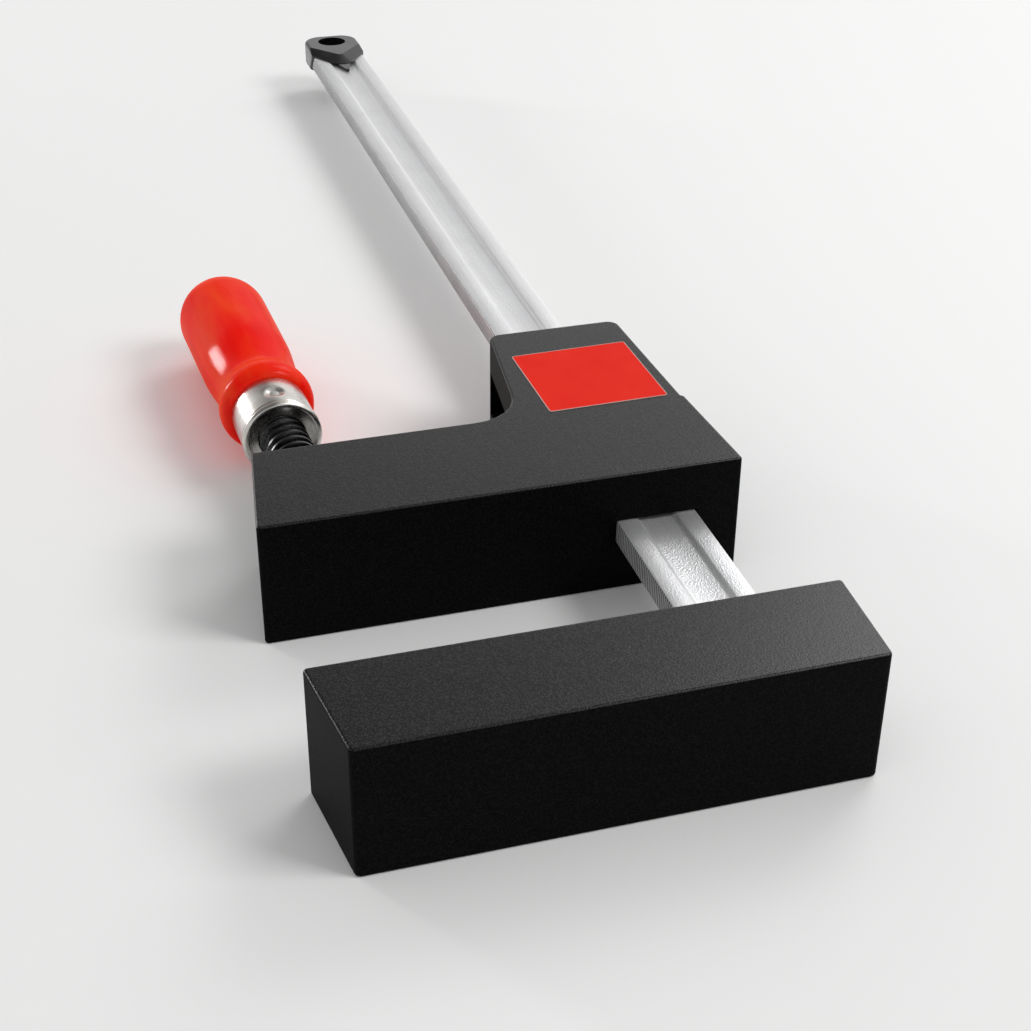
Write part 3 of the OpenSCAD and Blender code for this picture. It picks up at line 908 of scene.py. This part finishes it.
@dataclass
class Screw:
    """Spindle, ferrule and handle, with heights along the screw's leaning axis from the block's back."""

    radius: float = 6.0 * MM
    pitch: float = 3.0 * MM
    thread_depth: float = 1.5 * MM
    crest: float = 0.3
    flank: float = 0.15
    thread_steps: int = 48
    overlap: float = 1.0 * MM
    tip: float = -24.7 * MM
    shoulder: float = -21.6 * MM
    journal: float = 4.0 * MM
    tang: float = 4.5 * MM
    tang_start: float = 38.25 * MM
    tang_end: float = 96.25 * MM
    mouth: float = 31.0 * MM
    dish: float = 0.5 * MM
    ferrule_end: float = 45.5 * MM
    ferrule_radius: float = 9.7 * MM
    ferrule_wall: float = 0.7 * MM
    rim: float = 1.0 * MM
    rim_lip: float = 0.3 * MM
    lip_reach: float = 1.4
    barrel_rows: int = 32
    ferrule_steps: int = 160
    punch_tip: float = 0.6 * MM
    punch_depth: float = 0.9 * MM
    punch_reach: float = 2.6 * MM
    bead_radius: float = 12.1 * MM
    bead_length: float = 7.5 * MM
    waist_radius: float = 10.8 * MM
    waist_length: float = 3.5 * MM
    flare_radius: float = 11.9 * MM
    flare_length: float = 18.0 * MM
    belly_radius: float = 12.1 * MM
    dome: float = 13.0 * MM
    end: float = 115.0 * MM
    handle_steps: int = 96
    gap: float = 0.1 * MM

    def __post_init__(self) -> None:
        """Reads where the screw stands from its joint."""
        joint = next(j for j in frame["joints"] if j["name"] == "spindle_turn")
        axis = Vector(joint["axis"])
        self.lean = math.degrees(math.asin(axis.x))
        self.place = (Matrix.Translation(joint["pos_m"]) @ Matrix.Rotation(math.radians(self.lean), 4, "Z")
                      @ Matrix.Rotation(math.radians(-90), 4, "X"))

    def build(self) -> None:
        """Makes and dresses the screw's pieces."""
        black = Steel("black_screw", (0.018, 0.018, 0.019), (0.06, 0.06, 0.062),
                      roughness=(0.18, 0.34), marks=(1, 1, 1)).material()
        deliver(self.spindle(), "spindle", Body.SCREW, "black_screw", black)
        deliver(self.ferrule(), "ferrule", Body.SCREW, "ferrule_nickel", Nickel().material())
        deliver(self.handle(), "handle", Body.SCREW, "handle_lacquer", RedLacquer(self.lean).material())

    def spindle(self) -> Piece:
        """Winds the thread and joins it to the journal and the tang.

        Returns:
            The spindle in its place.
        """
        root = self.radius - self.thread_depth
        soft = self.thread_depth / 6
        flank = self.flank * self.pitch
        rise = (1 - self.crest) * self.pitch / 2 - flank
        top = rise + flank + self.crest * self.pitch
        ridge = [(root, 0.0), (root, rise), (self.radius - soft, rise + flank * 0.9),
                 (self.radius, rise + flank + soft / 2), (self.radius, top - soft / 2),
                 (self.radius - soft, top + flank * 0.1), (root, top + flank), (root, self.pitch)]
        line = [Vector((r, 0, z + self.shoulder - self.pitch)) for r, z in ridge]
        thread = polyline("threaded_spindle", line)
        turns = math.ceil((self.tang_start - self.shoulder) / self.pitch) + 2
        add_modifier(thread, "SCREW", axis="Z", angle=math.tau, screw_offset=self.pitch, iterations=turns,
                     steps=self.thread_steps, render_steps=self.thread_steps,
                     use_merge_vertices=True, merge_threshold=WELD)
        with editing(thread):
            for height, keep_above in ((self.shoulder, True), (self.tang_start, False)):
                bpy.ops.mesh.select_all(action="SELECT")
                bpy.ops.mesh.bisect(plane_co=(0, 0, height), plane_no=(0, 0, 1), use_fill=True,
                                    clear_inner=keep_above, clear_outer=not keep_above)
            bpy.ops.mesh.select_all(action="SELECT")
            bpy.ops.mesh.remove_doubles(threshold=WELD)
            bpy.ops.mesh.normals_make_consistent(inside=False)
        chamfer = self.journal / 4
        profile = [(0, self.tip), (self.journal - chamfer, self.tip), (self.journal, self.tip + chamfer),
                   (self.journal, self.shoulder + self.overlap),
                   (self.tang - chamfer, self.tang_start - self.overlap),
                   (self.tang - chamfer / 2, self.tang_end - chamfer),
                   (self.tang - chamfer, self.tang_end), (0, self.tang_end)]
        cut_with(thread, turned("core", profile, self.thread_steps), "UNION")
        settle(thread, self.place)
        smooth(thread, degrees=30)
        return thread

    def ferrule(self) -> Piece:
        """Turns the ferrule with its rolled rim and dished mouth, and punches it.

        Returns:
            The ferrule in its place.
        """
        hole = self.radius + self.gap
        barrel = self.ferrule_radius
        inner = barrel - self.ferrule_wall
        dish = self.mouth + self.dish
        lip = (barrel + self.rim_lip - self.rim, self.mouth + self.rim)
        behind = lip[1] + self.rim
        profile = [(hole, dish + self.ferrule_wall), (hole, dish),
                   (lip[0] - self.lip_reach * self.rim, dish)]
        profile += arc(lip, (self.rim, self.rim), (-120, 60), 12)
        profile += [(barrel - self.rim_lip / 3, behind)]
        rise = (self.ferrule_end - behind - self.rim_lip) / self.barrel_rows
        profile += [(barrel, behind + self.rim_lip + rise * i) for i in range(self.barrel_rows + 1)]
        profile += [(inner, self.ferrule_end), (inner, dish + self.ferrule_wall), profile[0]]
        ferrule = turned("ferrule_cup", profile, self.ferrule_steps)
        with editing(ferrule):
            punch = Vector((0, -barrel, (self.mouth + self.ferrule_end) / 2))
            select(ferrule, Pick.POINTS, lambda v: (v.co - punch).length < self.punch_tip)
            bpy.ops.transform.translate(value=(0, self.punch_depth, 0), use_proportional_edit=True,
                                        proportional_edit_falloff="SMOOTH",
                                        proportional_size=self.punch_reach,
                                        use_proportional_connected=True)
        settle(ferrule, self.place)
        smooth(ferrule, degrees=40)
        return ferrule

    def handle(self) -> Piece:
        """Turns the handle, bored for the tang.

        Returns:
            The handle in its place.
        """
        bead = (self.bead_radius, self.ferrule_end + self.bead_length / 2)
        waist = (self.waist_radius, self.ferrule_end + self.bead_length + self.waist_length)
        flare = (self.flare_radius, waist[1] + self.flare_length)
        belly = (self.belly_radius, self.end - self.dome)
        spigot = self.ferrule_radius - self.ferrule_wall - self.gap
        start = self.mouth + self.dish + self.ferrule_wall + self.gap
        bore = self.tang + self.gap
        clear = self.radius + self.gap
        profile = [(clear, start), (spigot, start), (spigot, self.ferrule_end + self.gap)]
        profile += arc((self.ferrule_radius, bead[1]),
                       (bead[0] - self.ferrule_radius, self.bead_length / 2 - self.gap), (-90, 0))
        profile += eased(bead, waist, 12) + eased(waist, flare, 16) + [belly]
        profile += arc((0, belly[1]), (belly[0], self.dome), (0, 90), 24)[1:]
        profile += [(0, self.tang_end + self.gap), (bore, self.tang_end + self.gap),
                    (bore, self.tang_start + self.gap), (clear, self.tang_start + self.gap), profile[0]]
        handle = turned("turned_handle", profile, self.handle_steps)
        settle(handle, self.place)
        smooth(handle, degrees=50)
        return handle


@dataclass
class Studio:
    """Pale floor, soft lights and the camera of the photograph's view."""

    floor_z: float = -15.0 * MM
    floor_size: float = 8.0
    camera_at: Triple = (-129.87 * MM, -270.5 * MM, 214.5 * MM)
    azimuth: float = -16.72
    elevation: float = 31.515
    roll: float = 0.423
    lens: float = 62.72
    sensor: float = 36.0
    near: float = 0.01
    ambient: float = 0.5
    dusk: Pair = (0.34, 0.51)
    low_glow: Pair = (0.6, 0.0)
    side: Pair = (0.0, 0.43)
    side_glow: Pair = (0.18, 1.0)

    def build(self) -> None:
        """Sets up the floor, lights, world and camera."""
        self.floor()
        self.world()
        self.lamp("key", (0.75, -0.45, 0.95), (0.0, 0.1, 0.0), (0.5, 0.5), 6.7)
        self.lamp("back", (0.774, 0.782, 0.871), (0.0, 0.1, 0.0), (0.63, 0.63), 4.15)
        self.lamp("left", (-0.71, 0.92, 0.15), (-0.083, 0.147, 0.15), (0.13, 0.3), 3.4)
        self.camera()
        bpy.context.scene.view_settings.view_transform = "Standard"

    def floor(self) -> None:
        """Lays the floor under the clamp."""
        bpy.ops.object.select_all(action="DESELECT")
        bpy.ops.mesh.primitive_plane_add(size=self.floor_size, location=(0, 0, self.floor_z))
        floor = named("floor")
        recipe = Recipe("pale_floor", Base_Color=(0.92, 0.92, 0.915), Roughness=0.9, Specular_IOR_Level=0.1)
        floor.data.materials.append(recipe.material)

    def world(self) -> None:
        """Shows the camera white, and gloss a surround that is brightest low down and to the right."""
        world = bpy.data.worlds.new("studio")
        bpy.context.scene.world = world
        world.use_nodes = True
        nodes = world.node_tree.nodes
        links = world.node_tree.links
        path = nodes.new("ShaderNodeLightPath")
        towards = nodes.new("ShaderNodeSeparateXYZ")
        links.new(nodes.new("ShaderNodeTexCoord").outputs["Generated"], towards.inputs[0])
        glow = nodes.new("ShaderNodeMath")
        glow.use_clamp = True
        parts = (("Z", self.dusk, self.low_glow), ("X", self.side, self.side_glow))
        for slot, (axis, source, levels) in enumerate(parts):
            part = nodes.new("ShaderNodeMapRange")
            for key, value in zip(("From Min", "From Max", "To Min", "To Max"), (*source, *levels)):
                part.inputs[key].default_value = value
            links.new(towards.outputs[axis], part.inputs["Value"])
            links.new(part.outputs[0], glow.inputs[slot])
        level = None
        for ray in ("Is Camera Ray", "Is Transmission Ray", "Is Glossy Ray"):
            mix = nodes.new("ShaderNodeMix")
            mix.inputs["A"].default_value = self.ambient
            mix.inputs["B"].default_value = 1.0
            links.new(path.outputs[ray], mix.inputs["Factor"])
            if level is not None:
                links.new(level, mix.inputs["A"])
            level = mix.outputs[0]
        links.new(glow.outputs[0], mix.inputs["B"])
        links.new(level, nodes["Background"].inputs["Strength"])
        nodes["Background"].inputs["Color"].default_value = (1, 1, 1, 1)

    def lamp(self, name: str, at: Triple, towards: Triple, size: Pair, power: float) -> None:
        """Hangs a flat soft light.

        Args:
            name: The light's name.
            at: Where it hangs.
            towards: What it faces.
            size: Its width and height.
            power: Its power in watts.
        """
        light = bpy.data.lights.new(name, "AREA")
        light.shape = "RECTANGLE"
        light.size, light.size_y = size
        light.energy = power
        lamp = bpy.data.objects.new(name, light)
        lamp.location = at
        lamp.rotation_euler = (Vector(towards) - Vector(at)).to_track_quat("-Z", "Y").to_euler()
        bpy.context.scene.collection.objects.link(lamp)

    def camera(self) -> None:
        """Stands the camera where the photograph was taken from."""
        data = bpy.data.cameras.new("camera")
        data.lens = self.lens
        data.sensor_width = self.sensor
        data.clip_start = self.near
        camera = bpy.data.objects.new("camera", data)
        camera.matrix_world = (Matrix.Translation(self.camera_at)
                               @ Matrix.Rotation(math.radians(self.azimuth), 4, "Z")
                               @ Matrix.Rotation(math.radians(90 - self.elevation), 4, "X")
                               @ Matrix.Rotation(math.radians(self.roll), 4, "Z"))
        bpy.context.scene.collection.objects.link(camera)
        bpy.context.scene.camera = camera


def main() -> None:
    """Builds the clamp's pieces and the studio in order."""
    logging.basicConfig(level=logging.INFO, format="%(name)s: %(message)s")
    Rail().build()
    Jaws().build()
    Screw().build()
    Studio().build()


if __name__ == "__main__":
    main()
